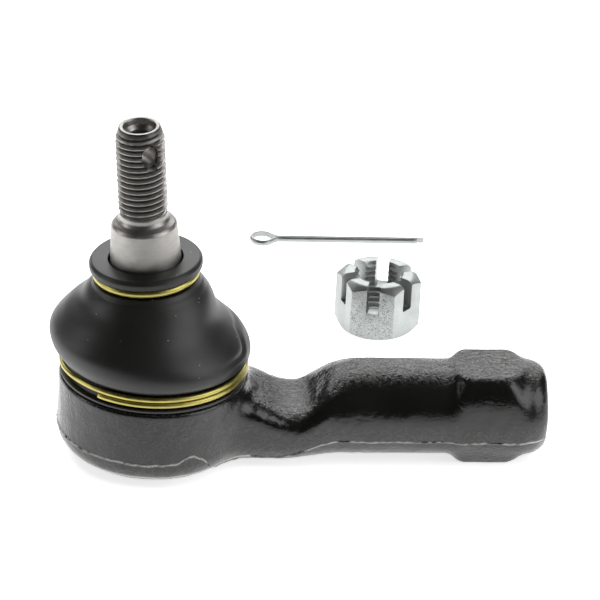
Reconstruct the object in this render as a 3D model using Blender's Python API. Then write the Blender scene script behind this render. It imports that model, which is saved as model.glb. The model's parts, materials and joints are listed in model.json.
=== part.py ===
"""Outer tie rod end: ball joint with a rubber dust boot, a castle nut and a split pin.

The frame stands on the flat of the cover plate: +Z runs up through the ball, +X along the
shank to its threaded end.  Every size below is in millimetres and the model is in metres.
"""
import math

import bmesh
import bpy
from mathutils import Matrix, Vector

MM = 0.001

# Forged housing
SOCKET_R = 23.1            # outside of the socket
SPIGOT_R = 19.6            # collar that the dust boot grips
SPIGOT_TOP = 27.2
SHOULDER_Z = 22.0          # ledge that the boot's lip sits on
PARTING_Z = 8.0            # parting plane of the forging dies
RIM_Z = 1.5                # lower edge of the socket
RIM_R = 18.4
SEAT_BORE_R = 14.0
COVER_BORE_R = 16.8
COVER_STEP_Z = 6.8
CRIMP_R = 15.3             # lip rolled in under the cover plate
CEILING_Z = 21.4
THROAT_R = 10.15           # steel throat that keeps the ball in
MOUTH_R = 13.0

# Shank
SHANK_R = 11.75
SHANK_Z = 12.2             # height of the shank's axis
SHANK_END_X = 97.0
DOME_R = 7.0               # rounding of the shank's end, faced off at END_FACE_R
END_FACE_R = 8.1
NECK_HALF_WIDTH = 12.6
NECK_HALF_HEIGHT = 12.0
NECK_SQUARENESS = 2.7      # how far the neck's section goes from round towards square
NECK_START_X = 32.0
NECK_END_X = 46.0
WEB_TOP_Z = 14.7           # flat web between the socket and the round shank
HEX_FLATS = 24.4           # across the wrench flats
HEX_START_X = 73.3
HEX_END_X = 89.0
BORE_R = 6.35              # M14 x 1.5 internal thread at its minor diameter
BORE_DEPTH = 38.0

# Ball stud, measured along its own axis from the ball's centre
BALL_R = 11.5
BALL_Z = 15.4
BALL_FLAT_S = -9.7
STUD_NECK_R = 5.2
STUD_LEAN = math.radians(4.5)  # how far the stud leans away from the shank at rest
THREAD_R = 6.0
THREAD_END_S = 51.8
STUD_TOP_S = 73.7
TAPER_SMALL_R = 8.0
TAPER_TOP_S = 47.9
RELIEF_R = 5.8             # plain neck between the taper and the thread
COLLAR_R = 8.8
PIN_HOLE_R = 1.8
PIN_HOLE_S = 67.9
PIN_HOLE_TURN = math.radians(25.0)

# Bearing pieces
RUNNING_GAP = 0.3
SEAT_INNER_R = BALL_R + RUNNING_GAP
SEAT_OUTER_R = SEAT_BORE_R - RUNNING_GAP
SEAT_HOLE_R = 5.0          # grease hole under the ball
COVER_SHEET = 1.6
COVER_FLAT_R = 10.5
COVER_R = 16.5
COVER_FLANGE_Z = 2.6
SEAL_TUBE_R = 0.95

# Dust boot and its two wire rings
BOOT_HOLE_R = 9.1
BASE_WIRE_R = 0.7
BASE_RING_R = 22.5
BASE_RING_TURNS = 1.6
BASE_RING_LOW_Z = 24.5
BASE_RING_HIGH_Z = 26.05
NECK_WIRE_R = 0.98
NECK_RING_R = 12.2
NECK_RING_S = 34.3
BOOT_BEND_LOW_Z = 27.2
BOOT_BEND_HIGH_Z = 47.0

# Castle nut and split pin, lying loose behind the shank
NUT_FLATS = 19.0
NUT_HEIGHT = 15.0
NUT_BORE_R = 5.2
NUT_SLOT_WIDTH = 3.3
NUT_SLOT_DEPTH = 7.5
NUT_PLACE = Vector((61.5, 63.8, 0.0))
NUT_TURN = math.radians(-13.6)
PIN_LENGTH = 45.9
PIN_HALF_GAP = 0.15
PIN_WIRE_R = 0.7
PIN_EYE_R = 2.6
PIN_PLACE = Vector((54.9, 107.8, 0.7))
PIN_TURN = math.radians(-0.9)

FINE = 48
ROUND = 36
SKEW = math.radians(1.3)   # turns a cutter's facets off the edges that it crosses

for old in list(bpy.data.objects):
    bpy.data.objects.remove(old, do_unlink=True)


def finish(name, colour, roughness, metallic):
    """A plain Principled material in the piece's own colour."""
    material = bpy.data.materials.new(name)
    material.use_nodes = True
    shader = material.node_tree.nodes["Principled BSDF"]
    shader.inputs["Base Color"].default_value = (*colour, 1.0)
    shader.inputs["Roughness"].default_value = roughness
    shader.inputs["Metallic"].default_value = metallic
    return material


def arc(centre, radius, start, stop, steps):
    """Points on a circle, from one angle in degrees to another."""
    points = []
    for step in range(steps + 1):
        angle = math.radians(start + (stop - start) * step / steps)
        points.append((centre[0] + radius * math.cos(angle), centre[1] + radius * math.sin(angle)))
    return points


def to_object(bm, name, smooth=True):
    """Turn a bmesh in millimetres into a linked object in metres."""
    bmesh.ops.remove_doubles(bm, verts=bm.verts, dist=0.0005)
    bmesh.ops.recalc_face_normals(bm, faces=bm.faces)
    bmesh.ops.scale(bm, vec=(MM, MM, MM), verts=bm.verts)
    mesh = bpy.data.meshes.new(name)
    bm.to_mesh(mesh)
    bm.free()
    mesh.shade_smooth() if smooth else mesh.shade_flat()
    made = bpy.data.objects.new(name, mesh)
    bpy.context.scene.collection.objects.link(made)
    return made


def turned(name, profile, segments=ROUND, along_x=False, closed=True):
    """Spin an outline of (radius, height) points about the vertical axis."""
    bm = bmesh.new()
    verts = [bm.verts.new((radius, 0.0, height)) for radius, height in profile]
    pairs = list(zip(verts, verts[1:]))
    if closed:
        pairs.append((verts[-1], verts[0]))
    edges = [bm.edges.new(pair) for pair in pairs]
    bmesh.ops.spin(bm, geom=verts + edges, cent=(0, 0, 0), axis=(0, 0, 1), dvec=(0, 0, 0),
                   angle=math.tau, steps=segments, use_merge=True, use_duplicate=False)
    if along_x:
        bmesh.ops.rotate(bm, verts=bm.verts, cent=(0, 0, 0),
                         matrix=Matrix.Rotation(math.radians(90), 3, "Y"))
    return to_object(bm, name)


def prism(name, outline, place, run):
    """Extrude a flat outline, given by a point function, along a vector."""
    bm = bmesh.new()
    face = bm.faces.new([bm.verts.new(place(*point)) for point in outline])
    pushed = bmesh.ops.extrude_face_region(bm, geom=[face])
    moved = [item for item in pushed["geom"] if isinstance(item, bmesh.types.BMVert)]
    bmesh.ops.translate(bm, vec=run, verts=moved)
    return to_object(bm, name, smooth=False)


def lofted(name, rings, closed=False):
    """Join rings of points with quads, and cap the ends or close the loop."""
    bm = bmesh.new()
    loops = [[bm.verts.new(point) for point in ring] for ring in rings]
    following = loops[1:] + loops[:1] if closed else loops[1:]
    for low, high in zip(loops, following):
        for index in range(len(low)):
            after = (index + 1) % len(low)
            bm.faces.new((low[index], low[after], high[after], high[index]))
    if not closed:
        bm.faces.new(loops[0])
        bm.faces.new(loops[-1])
    return to_object(bm, name)


def boolean(target, tool, operation):
    """Add or cut with a hidden tool, kept as a live modifier."""
    modifier = target.modifiers.new(operation.lower() + "_" + tool.name, "BOOLEAN")
    modifier.operation = operation
    modifier.solver = "EXACT"
    modifier.object = tool
    tool.hide_render = True
    tool.display_type = "WIRE"


def node(made, material):
    """Give a finished piece its material."""
    made.data.materials.clear()
    made.data.materials.append(material)
    return made


def hexagon(flats, turn=0.0):
    """Corner points of a hexagon with the given size across its flats."""
    radius = flats / 2 / math.cos(math.pi / 6)
    return [(radius * math.cos(turn + step * math.pi / 3), radius * math.sin(turn + step * math.pi / 3))
            for step in range(6)]


def rounded_section(half_width, half_height, squareness):
    """Points round a section between an ellipse (2.0) and a rounded rectangle (above 2.0)."""
    points = []
    for step in range(ROUND):
        angle = math.tau * step / ROUND
        across, up = math.cos(angle), math.sin(angle)
        reach = (abs(across) ** squareness + abs(up) ** squareness) ** (-1.0 / squareness)
        points.append((half_width * across * reach, half_height * up * reach))
    return points


def make_shank():
    """Squared neck, round shank and domed end, cut down to a web beside the socket."""
    stations = [(10.0, 0.0), (NECK_START_X, 0.0)]
    stations += [(NECK_START_X + (NECK_END_X - NECK_START_X) * step / 6, step / 6) for step in range(1, 7)]
    rings = []
    for run, share in stations:
        ease = share * share * (3 - 2 * share)
        section = rounded_section(NECK_HALF_WIDTH + (SHANK_R - NECK_HALF_WIDTH) * ease,
                                  NECK_HALF_HEIGHT + (SHANK_R - NECK_HALF_HEIGHT) * ease,
                                  NECK_SQUARENESS + (2.0 - NECK_SQUARENESS) * ease)
        rings.append([(run, across, SHANK_Z + up) for across, up in section])
    dome_x = SHANK_END_X - math.sqrt(DOME_R ** 2 - (END_FACE_R - SHANK_R + DOME_R) ** 2)
    stop = math.degrees(math.asin((END_FACE_R - SHANK_R + DOME_R) / DOME_R))
    for run, radius in arc((dome_x, SHANK_R - DOME_R), DOME_R, 90, stop, 6):
        rings.append([(run, across, SHANK_Z + up) for across, up in rounded_section(radius, radius, 2.0)])
    return lofted("shank_form", rings)


def make_housing(material):
    """Forged socket, shank and wrench hexagon, machined for the ball and the tie rod."""
    outline = [(0.0, SPIGOT_TOP), (SPIGOT_R - 0.5, SPIGOT_TOP), (SPIGOT_R, SPIGOT_TOP - 0.5)]
    outline += [(SPIGOT_R, SHOULDER_Z)]
    outline += arc((SOCKET_R - 0.9, SHOULDER_Z - 0.9), 0.9, 90, 0, 3)
    outline += [(SOCKET_R, PARTING_Z)]
    outline += [(22.9, 6.6), (22.3, 4.9), (21.1, 3.3), (19.8, 2.1), (RIM_R, RIM_Z), (0.0, RIM_Z)]
    socket = turned("housing", outline, FINE, closed=False)

    shank = make_shank()
    web = [(8.0, 21.0), (22.5, 19.6), (25.0, 17.4), (28.0, 15.8), (32.0, 14.95), (36.0, WEB_TOP_Z)]
    web += arc((37.0, WEB_TOP_Z + 9.0), 9.0, -90, 0, 7)
    web += [(NECK_END_X, 40.0), (8.0, 40.0)]
    scoop = prism("web_scoop", web, lambda x, z: (x, -30.0, z), (0, 60, 0))
    boolean(shank, scoop, "DIFFERENCE")

    corners = hexagon(HEX_FLATS)
    flats = prism("hex_form", corners, lambda y, z: (HEX_START_X, y, SHANK_Z + z), (21.5, 0, 0))
    corner_r = HEX_FLATS / 2 / math.cos(math.pi / 6) + 0.1
    ease = [(0.0, HEX_START_X - 1), (corner_r - 1.0, HEX_START_X - 1), (corner_r, HEX_START_X + 0.8),
            (corner_r, HEX_END_X), (SHANK_R - 0.4, HEX_END_X + 4.4), (SHANK_R - 4.4, HEX_END_X + 5.2),
            (0.0, HEX_END_X + 5.2)]
    cone = turned("hex_ease", ease, ROUND, along_x=True, closed=False)
    cone.location.z = SHANK_Z * MM
    cone.rotation_euler.x = SKEW
    boolean(flats, cone, "INTERSECT")

    cavity = [(0.0, RIM_Z - 2), (CRIMP_R, RIM_Z - 2), (CRIMP_R, RIM_Z + 0.8), (COVER_BORE_R, RIM_Z + 0.8),
              (COVER_BORE_R, COVER_STEP_Z), (SEAT_BORE_R, COVER_STEP_Z), (SEAT_BORE_R, CEILING_Z),
              (THROAT_R, CEILING_Z), (THROAT_R, CEILING_Z + 1.2), (MOUTH_R + 0.62, SPIGOT_TOP + 1.0),
              (0.0, SPIGOT_TOP + 1.0)]
    inside = turned("socket_bore", cavity, FINE, closed=False)
    inside.rotation_euler.z = SKEW

    mouth_x = SHANK_END_X
    bore = [(0.0, mouth_x - BORE_DEPTH - 3.5), (BORE_R, mouth_x - BORE_DEPTH), (BORE_R, mouth_x - 0.7),
            (BORE_R + 1.2, mouth_x + 0.5), (0.0, mouth_x + 0.5)]
    thread = turned("shank_bore", bore, ROUND, along_x=True, closed=False)
    thread.location.z = SHANK_Z * MM
    thread.rotation_euler.x = SKEW

    boolean(socket, shank, "UNION")
    boolean(socket, flats, "UNION")
    boolean(socket, inside, "DIFFERENCE")
    boolean(socket, thread, "DIFFERENCE")
    return node(socket, material)


def make_ball_stud(material):
    """Ball, neck, taper and threaded end, with the cross hole for the split pin."""
    flat_angle = math.degrees(math.asin(BALL_FLAT_S / BALL_R))
    neck_angle = math.degrees(math.acos(STUD_NECK_R / BALL_R))
    outline = [(0.0, BALL_FLAT_S)]
    outline += arc((0.0, 0.0), BALL_R, flat_angle, neck_angle, 14)
    outline += [(STUD_NECK_R, 24.0), (STUD_NECK_R + 0.5, 26.5), (COLLAR_R - 1.2, 29.0), (COLLAR_R, 30.6),
                (COLLAR_R, 36.5), (TAPER_SMALL_R, TAPER_TOP_S - 0.7), (TAPER_SMALL_R - 0.5, TAPER_TOP_S),
                (RELIEF_R + 0.6, TAPER_TOP_S + 0.7), (RELIEF_R, TAPER_TOP_S + 1.5),
                (RELIEF_R, THREAD_END_S - 1.3), (THREAD_R - 0.85, THREAD_END_S - 0.9),
                (THREAD_R - 0.85, THREAD_END_S - 0.6), (THREAD_R, THREAD_END_S), (THREAD_R, STUD_TOP_S - 3.0), (THREAD_R - 1.0, STUD_TOP_S),
                (THREAD_R - 2.0, STUD_TOP_S), (THREAD_R - 2.6, STUD_TOP_S - 1.6), (0.0, STUD_TOP_S - 2.2)]
    stud = turned("ball_stud", outline, ROUND, closed=False)
    hole = [(0.0, -8.0), (PIN_HOLE_R + 2.4, -8.0), (PIN_HOLE_R, -5.2), (PIN_HOLE_R, 5.2),
            (PIN_HOLE_R + 2.4, 8.0), (0.0, 8.0)]
    cutter = turned("pin_hole", hole, 20, closed=False)
    cutter.parent = stud
    cutter.location.z = PIN_HOLE_S * MM
    cutter.rotation_euler = (math.radians(90), 0, PIN_HOLE_TURN)
    boolean(stud, cutter, "DIFFERENCE")
    stud.location.z = BALL_Z * MM
    stud.rotation_euler.y = -STUD_LEAN
    return node(stud, material)


def make_upper_seat(material):
    """Liner between the ball's upper half and the socket's ceiling."""
    top = CEILING_Z - RUNNING_GAP - BALL_Z
    top_angle = math.degrees(math.asin(top / SEAT_INNER_R))
    outline = arc((0.0, BALL_Z), SEAT_INNER_R, 1.5, top_angle, 8)
    outline += [(SEAT_OUTER_R, BALL_Z + top), (SEAT_OUTER_R, BALL_Z + 0.3)]
    return node(turned("upper_ball_seat", outline), material)


def make_lower_seat(material):
    """Cup that the spring presses up against the ball."""
    hole_angle = math.degrees(math.acos(SEAT_HOLE_R / SEAT_INNER_R))
    outline = arc((0.0, BALL_Z), SEAT_INNER_R, -hole_angle, -1.5, 10)
    outline += [(SEAT_OUTER_R, BALL_Z - 0.3), (SEAT_OUTER_R, 8.0), (9.0, 3.35), (SEAT_HOLE_R, 3.35)]
    return node(turned("lower_ball_seat", outline), material)


def make_spring(material):
    """Conical disc spring between the cover and the cup."""
    outline = [(4.6, 2.35), (9.2, 1.9), (9.2, 2.6), (4.6, 3.05)]
    return node(turned("preload_spring", outline), material)


def make_cover(material):
    """Pressed cover plate, rolled into the socket's lower bore."""
    flange_top = COVER_FLANGE_Z + COVER_SHEET
    outline = [(0.0, 0.0), (COVER_FLAT_R, 0.0), (14.6, COVER_FLANGE_Z), (COVER_R, COVER_FLANGE_Z),
               (COVER_R, flange_top), (13.6, flange_top), (COVER_FLAT_R - 0.9, COVER_SHEET),
               (0.0, COVER_SHEET)]
    return node(turned("cover_plate", outline, closed=False), material)


def make_seal(material):
    """O-ring squeezed between the cover and the step in the bore."""
    outline = arc((15.4, 5.5), SEAL_TUBE_R, 0, 315, 7)
    return node(turned("cover_seal", outline), material)


def lean_share(height):
    """How much of the stud's lean the boot has taken up at a height."""
    share = (height - BOOT_BEND_LOW_Z) / (BOOT_BEND_HIGH_Z - BOOT_BEND_LOW_Z)
    share = min(max(share, 0.0), 1.0)
    return share * share * (3 - 2 * share)


def rubber_push(turn, height):
    """How far the leaning stud squeezes the bulge out on one side and stretches it flat on the other."""
    shank_side = (1 + math.cos(turn)) / 2
    squeezed = 1.5 * math.exp(-((height - 35.0) / 4.5) ** 2)
    squeezed -= 0.8 * math.exp(-((height - 43.5) / 2.0) ** 2)
    stretched = -4.9 * math.exp(-((height - 38.2) / 5.8) ** 2)
    low = min(max((height - 27.6) / 2.6, 0.0), 1.0)
    high = min(max((47.6 - height) / 2.2, 0.0), 1.0)
    held = low * low * (3 - 2 * low) * high * high * (3 - 2 * high)
    return (squeezed * (1 - shank_side) + stretched * shank_side) * held


def make_boot(material):
    """Rubber dust boot: lip, wire groove, bulge, neck groove and flanged collar."""
    groove = BASE_RING_R - BASE_WIRE_R - RUNNING_GAP
    neck_groove = NECK_RING_R - NECK_WIRE_R - RUNNING_GAP
    ring_z = BALL_Z + NECK_RING_S
    outside = [(SOCKET_R - 0.3, SHOULDER_Z + 0.3), (SOCKET_R - 0.1, SHOULDER_Z + 1.1), (groove, 23.4),
               (groove, 27.1), (22.4, 27.3), (23.6, 28.6), (24.2, 30.7), (24.0, 33.0), (23.3, 35.4),
               (22.0, 38.0), (20.2, 40.6), (18.0, 43.0), (15.6, 45.2), (13.4, 47.0), (12.9, 48.0),
               (neck_groove, 48.3), (neck_groove, ring_z + 1.3), (13.55, ring_z + 1.35), (13.85, 51.4),
               (13.85, 52.7), (13.1, 53.5)]
    inside = [(BOOT_HOLE_R, 53.5), (BOOT_HOLE_R, 47.6), (11.8, 45.6), (14.2, 43.6), (16.6, 41.4),
              (18.6, 39.3), (20.2, 37.0), (21.2, 35.0), (21.9, 33.0), (22.1, 30.7), (21.0, 28.6),
              (SPIGOT_R + 0.3, 27.3), (SPIGOT_R + 0.3, SHOULDER_Z + 0.3)]
    boot = turned("dust_boot", outside + inside, ROUND)
    centre = Vector((0, 0, BALL_Z * MM))
    for vert in boot.data.vertices:
        out = math.hypot(vert.co.x, vert.co.y)
        reach = 1 + rubber_push(math.atan2(vert.co.y, vert.co.x), vert.co.z / MM) * MM / out
        vert.co.x *= reach
        vert.co.y *= reach
        turn = Matrix.Rotation(-STUD_LEAN * lean_share(vert.co.z / MM), 3, "Y")
        vert.co = centre + turn @ (vert.co - centre)
    return node(boot, material)


def round_section(radius, sides):
    """Outline of a round wire."""
    return [(radius * math.cos(math.tau * step / sides), radius * math.sin(math.tau * step / sides))
            for step in range(sides)]


def make_base_ring(material):
    """Round spring wire wound round the boot's lower groove, its turns lapped in front."""
    steps = int(40 * BASE_RING_TURNS)
    start = math.radians(-90 - 39)
    rings = []
    for step in range(steps + 1):
        turned_by = math.tau * BASE_RING_TURNS * step / steps
        angle = start + turned_by
        share = min(max((math.degrees(turned_by) - 285) / 70, 0.0), 1.0)
        rise = share * share * (3 - 2 * share)
        height = BASE_RING_LOW_Z + (BASE_RING_HIGH_Z - BASE_RING_LOW_Z) * rise
        out = Vector((math.cos(angle), math.sin(angle), 0))
        rings.append([out * (BASE_RING_R + side) + Vector((0, 0, height + up))
                      for side, up in round_section(BASE_WIRE_R, 8)])
    return node(lofted("boot_base_ring", rings), material)


def make_neck_ring(material):
    """Closed ring that clamps the boot's collar round the stud."""
    outline = [(NECK_RING_R + out, NECK_RING_S + up) for out, up in round_section(NECK_WIRE_R, 8)]
    ring = turned("boot_neck_ring", outline)
    ring.location.z = BALL_Z * MM
    ring.rotation_euler.y = -STUD_LEAN
    return node(ring, material)


def make_nut(material):
    """Hexagon nut with six slots for the split pin."""
    corner_r = NUT_FLATS / 2 / math.cos(math.pi / 6)
    nut = prism("castle_nut", hexagon(NUT_FLATS), lambda x, y: (x, y, 0.0), (0, 0, NUT_HEIGHT))
    eased = [(0.0, 0.0), (NUT_FLATS / 2 - 0.6, 0.0), (corner_r + 0.1, 1.5),
             (corner_r + 0.1, NUT_HEIGHT - 1.7), (NUT_FLATS / 2 - 1.2, NUT_HEIGHT), (0.0, NUT_HEIGHT)]
    boolean(nut, turned("nut_ease", eased, ROUND, closed=False), "INTERSECT")
    bore = [(0.0, -1.0), (NUT_BORE_R + 1.0, -1.0), (NUT_BORE_R + 0.9, 0.0), (NUT_BORE_R, 0.9),
            (NUT_BORE_R, NUT_HEIGHT - 0.9), (NUT_BORE_R + 0.9, NUT_HEIGHT),
            (NUT_BORE_R + 1.0, NUT_HEIGHT + 1), (0.0, NUT_HEIGHT + 1)]
    boolean(nut, turned("nut_bore", bore, 32, closed=False), "DIFFERENCE")
    half = NUT_SLOT_WIDTH / 2
    for index in range(3):
        angle = math.radians(30 + 60 * index)
        along = Vector((math.cos(angle), math.sin(angle), 0))
        side = Vector((-along.y, along.x, 0))
        edges = [(-half, 0.0), (half, 0.0), (half, NUT_SLOT_DEPTH + 2), (-half, NUT_SLOT_DEPTH + 2)]
        low = NUT_HEIGHT - NUT_SLOT_DEPTH
        slot = prism("nut_slot_%d" % (index + 1), edges,
                     lambda u, v: side * u - along * 15 + Vector((0, 0, low + v)), along * 30)
        boolean(nut, slot, "DIFFERENCE")
    for tool in [modifier.object for modifier in nut.modifiers]:
        tool.parent = nut
        tool.rotation_euler.z = SKEW if "slot" not in tool.name else 0.0
    nut.location = NUT_PLACE * MM
    nut.rotation_euler.z = NUT_TURN
    return node(nut, material)


def make_split_pin(material):
    """Half-round wire folded into an eye and two prongs lying side by side."""
    half = PIN_LENGTH / 2
    eye_x = -half + PIN_EYE_R + PIN_WIRE_R
    prong = [(half, PIN_HALF_GAP), (eye_x + 4.6, PIN_HALF_GAP), (eye_x + 3.9, PIN_HALF_GAP + 0.15),
             (eye_x + 3.0, PIN_HALF_GAP + 0.7)]
    eye = arc((eye_x, 0.0), PIN_EYE_R, 55, 305, 18)
    back = [(x - (1.8 if index == 0 else 0.0), -y) for index, (x, y) in enumerate(prong)]
    path = prong + eye + back[::-1]
    rings = []
    for index, (x, y) in enumerate(path):
        before = Vector(path[max(index - 1, 0)])
        after = Vector(path[min(index + 1, len(path) - 1)])
        run = (after - before).normalized()
        out = Vector((run.y, -run.x))
        ring = []
        for u, v in arc((0.0, 0.0), PIN_WIRE_R, -90, 90, 8):
            ring.append((x + out.x * u, y + out.y * u, v))
        rings.append(ring)
    pin = lofted("split_pin", rings)
    pin.location = PIN_PLACE * MM
    pin.rotation_euler.z = PIN_TURN
    return node(pin, material)


black_forging = finish("black_forging", (0.035, 0.036, 0.038), 0.45, 0.3)
machined_steel = finish("machined_steel", (0.42, 0.42, 0.41), 0.32, 1.0)
seat_polymer = finish("seat_polymer", (0.75, 0.74, 0.70), 0.40, 0.0)
spring_steel = finish("spring_steel", (0.25, 0.25, 0.26), 0.35, 1.0)
black_plate = finish("black_plate", (0.05, 0.05, 0.055), 0.40, 0.4)
black_rubber = finish("black_rubber", (0.02, 0.02, 0.02), 0.50, 0.0)
seal_rubber = finish("seal_rubber", (0.015, 0.015, 0.015), 0.60, 0.0)
yellow_zinc = finish("yellow_zinc", (0.55, 0.47, 0.20), 0.35, 1.0)
bright_zinc = finish("bright_zinc", (0.60, 0.61, 0.60), 0.35, 1.0)

make_housing(black_forging)
make_upper_seat(seat_polymer)
make_lower_seat(seat_polymer)
make_spring(spring_steel)
make_cover(black_plate)
make_seal(seal_rubber)
make_ball_stud(machined_steel)
make_boot(black_rubber)
make_base_ring(yellow_zinc)
make_neck_ring(yellow_zinc)
make_nut(bright_zinc)
make_split_pin(bright_zinc)
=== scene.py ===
# %% [markdown]
# # An outer tie rod end, with its castle nut and split pin
# This part sits at the end of a car's steering linkage.  A forged steel housing holds a ball
# stud, a rubber boot keeps grease in and dirt out, and a slotted nut with a split pin locks
# the stud to the steering arm.  The lesson makes each real piece as its own object and hangs
# it on the moving bodies of a finished mechanical model, so that the joints still work.

# %% Load the mechanical model
import json
import math

import bmesh
import bpy
import numpy as np
from mathutils import Matrix, Vector


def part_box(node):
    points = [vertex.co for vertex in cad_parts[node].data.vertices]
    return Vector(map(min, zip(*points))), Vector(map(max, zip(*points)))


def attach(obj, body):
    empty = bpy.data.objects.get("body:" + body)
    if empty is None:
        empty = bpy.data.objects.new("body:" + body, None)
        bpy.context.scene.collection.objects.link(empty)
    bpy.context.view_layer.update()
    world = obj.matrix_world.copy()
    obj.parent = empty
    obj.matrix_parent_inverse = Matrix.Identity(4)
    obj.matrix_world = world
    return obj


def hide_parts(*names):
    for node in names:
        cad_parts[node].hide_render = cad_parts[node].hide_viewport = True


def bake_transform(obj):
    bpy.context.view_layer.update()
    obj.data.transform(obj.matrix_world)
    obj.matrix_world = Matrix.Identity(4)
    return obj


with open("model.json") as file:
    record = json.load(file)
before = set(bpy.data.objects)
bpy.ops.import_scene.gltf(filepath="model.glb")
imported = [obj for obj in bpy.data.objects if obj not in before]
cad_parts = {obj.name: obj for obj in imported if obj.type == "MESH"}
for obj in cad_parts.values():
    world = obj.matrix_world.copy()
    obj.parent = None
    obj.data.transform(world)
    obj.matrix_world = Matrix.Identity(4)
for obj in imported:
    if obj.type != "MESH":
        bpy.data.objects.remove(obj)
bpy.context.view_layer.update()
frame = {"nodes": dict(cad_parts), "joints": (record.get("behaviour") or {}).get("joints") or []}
print("model loaded, pieces:", sorted(frame["nodes"]))

# %% [markdown]
# ## Where everything is
# The model says where its pieces stand, so this lesson asks it instead of guessing.  The
# housing's box gives the socket and the shank, the stud's joint gives the ball's centre and
# the lean of the stud, and the nut and the pin lie where their own boxes are.

# %% Read the places
MM = 0.001
joints = {joint["name"]: joint for joint in frame["joints"]}
housing_low, housing_high = [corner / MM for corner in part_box("housing")]
nut_low, nut_high = [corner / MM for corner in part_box("castle_nut")]
pin_low, pin_high = [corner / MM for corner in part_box("split_pin")]
ball_centre = Vector(joints["stud_spin"]["pos_m"]) / MM
stud_axis = Vector(joints["stud_spin"]["axis"])
stud_lean = -math.atan2(stud_axis.x, stud_axis.z)
socket_r = -housing_low.x
RIM_ABOVE_COVER = 1.5
rim_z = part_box("cover_plate")[0].z / MM + RIM_ABOVE_COVER
shank_end_x = housing_high.x
print("ball centre", tuple(round(value, 2) for value in ball_centre),
      "lean", round(math.degrees(stud_lean), 2), "degrees, shank ends at", round(shank_end_x, 2))

# %% [markdown]
# ## Tools for colour and shading
# Hex colours are how people write colour for screens.  The renderer adds light, so it needs
# linear numbers, and one function makes the change.  A second function adds a shader node,
# with its settings and its links, which is all that a material recipe needs.

# %% Colour and node helpers
def linear(hex_colour):
    """Turn an sRGB hex colour into linear red, green, blue and alpha."""
    parts = [int(hex_colour[start:start + 2], 16) / 255 for start in (1, 3, 5)]
    parts = [part / 12.92 if part <= 0.04045 else ((part + 0.055) / 1.055) ** 2.4 for part in parts]
    return (*parts, 1.0)


def add(tree, kind, sockets=None, **settings):
    """Add a shader node: plain settings by name, and socket values or links by socket."""
    made = tree.nodes.new("ShaderNode" + kind)
    for name, value in settings.items():
        setattr(made, name, value)
    for socket, value in (sockets or {}).items():
        if isinstance(value, bpy.types.NodeSocket):
            tree.links.new(value, made.inputs[socket])
        else:
            made.inputs[socket].default_value = value
    return made


def start_material(name, colour, roughness, metallic=0.0):
    """A Principled material with its plain starting values, ready for detail."""
    material = bpy.data.materials.new(name)
    material.use_nodes = True
    tree = material.node_tree
    shader = tree.nodes["Principled BSDF"]
    shader.inputs["Base Color"].default_value = linear(colour)
    shader.inputs["Roughness"].default_value = roughness
    shader.inputs["Metallic"].default_value = metallic
    place = add(tree, "TexCoord").outputs["Object"]
    return material, tree, shader, place


print("colour helper ready, mid grey is", round(linear("#808080")[0], 3))

# %% [markdown]
# ## Black coated forging
# The housing is hammered hot between two dies, shot blasted to knock off the scale, and
# dipped in black paint that electricity pulls on.  The coat is thin and glossy, so the
# blasted skin shows through: grain of 0.5 mm and 1 mm and some 1.6 mm pits go into the bump.
# Real dents would need millions of faces.  Faces that look up or down kept more scale, so
# they are rougher, and their pale flecks are also painted light: the overhead lights fall on
# the up faces and the bright floor shows in the down faces.  The coat is worn to bare steel
# along the flash line.  Two values stored on the mesh say where, so the wear and the painted
# light follow the shape.

# %% Forging material
black_coat, tree, shader, place = start_material("electrocoated_forged_steel", "#0f0f0e", 0.33)
peel = add(tree, "TexNoise", {"Vector": place, "Scale": 2000.0, "Detail": 3.0, "Roughness": 0.6})
swell = add(tree, "TexNoise", {"Vector": place, "Scale": 950.0, "Detail": 3.0, "Distortion": 1.2})
patches = add(tree, "TexNoise", {"Vector": place, "Scale": 90.0, "Detail": 4.0})
pits = add(tree, "TexVoronoi", {"Vector": place, "Scale": 620.0})
pit_depth = add(tree, "MapRange", {"Value": pits.outputs["Distance"], "From Min": 0.0,
                                   "From Max": 0.25, "To Min": -0.7, "To Max": 0.0})
height = add(tree, "Math", {0: peel.outputs[0], 1: 0.35}, operation="MULTIPLY")
height = add(tree, "Math", {0: swell.outputs[0], 1: height.outputs[0]}, operation="ADD")
height = add(tree, "Math", {0: pit_depth.outputs[0], 1: 0.3, 2: height.outputs[0]},
             operation="MULTIPLY_ADD")
# pale flecks on faces that look up or down: partly scale, partly painted light from the lamps above and
# the floor below
scale_and_light_share = add(tree, "Attribute", attribute_name="scale_and_painted_light").outputs["Fac"]
strength = add(tree, "MapRange", {"Value": scale_and_light_share, "To Min": 0.3, "To Max": 1.0})
bump = add(tree, "Bump", {"Distance": 0.00027, "Height": height.outputs[0]})
tree.links.new(strength.outputs[0], bump.inputs["Strength"])
tree.links.new(bump.outputs[0], shader.inputs["Normal"])
gloss = add(tree, "MapRange", {"Value": patches.outputs[0], "From Min": 0.3, "From Max": 0.7,
                               "To Min": 0.12, "To Max": 0.23})
tint = add(tree, "Mix", {0: patches.outputs[0], 6: linear("#0b0b0a"), 7: linear("#161615")},
           data_type="RGBA")
flakes = add(tree, "MapRange", {"Value": height.outputs[0], "From Min": 0.58, "From Max": 0.86,
                                "To Min": 0.0, "To Max": 0.6})
pale_flecks_and_light = add(tree, "Math", {0: flakes.outputs[0], 1: scale_and_light_share}, operation="MULTIPLY")
flecked_and_lit_coat = add(tree, "Mix", {0: pale_flecks_and_light.outputs[0], 6: tint.outputs[2], 7: linear("#525250")},
            data_type="RGBA")
worn = add(tree, "Attribute", attribute_name="worn_edge").outputs["Fac"]
bare = add(tree, "Mix", {0: worn, 6: flecked_and_lit_coat.outputs[2], 7: linear("#a3a29f")}, data_type="RGBA")
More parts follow.
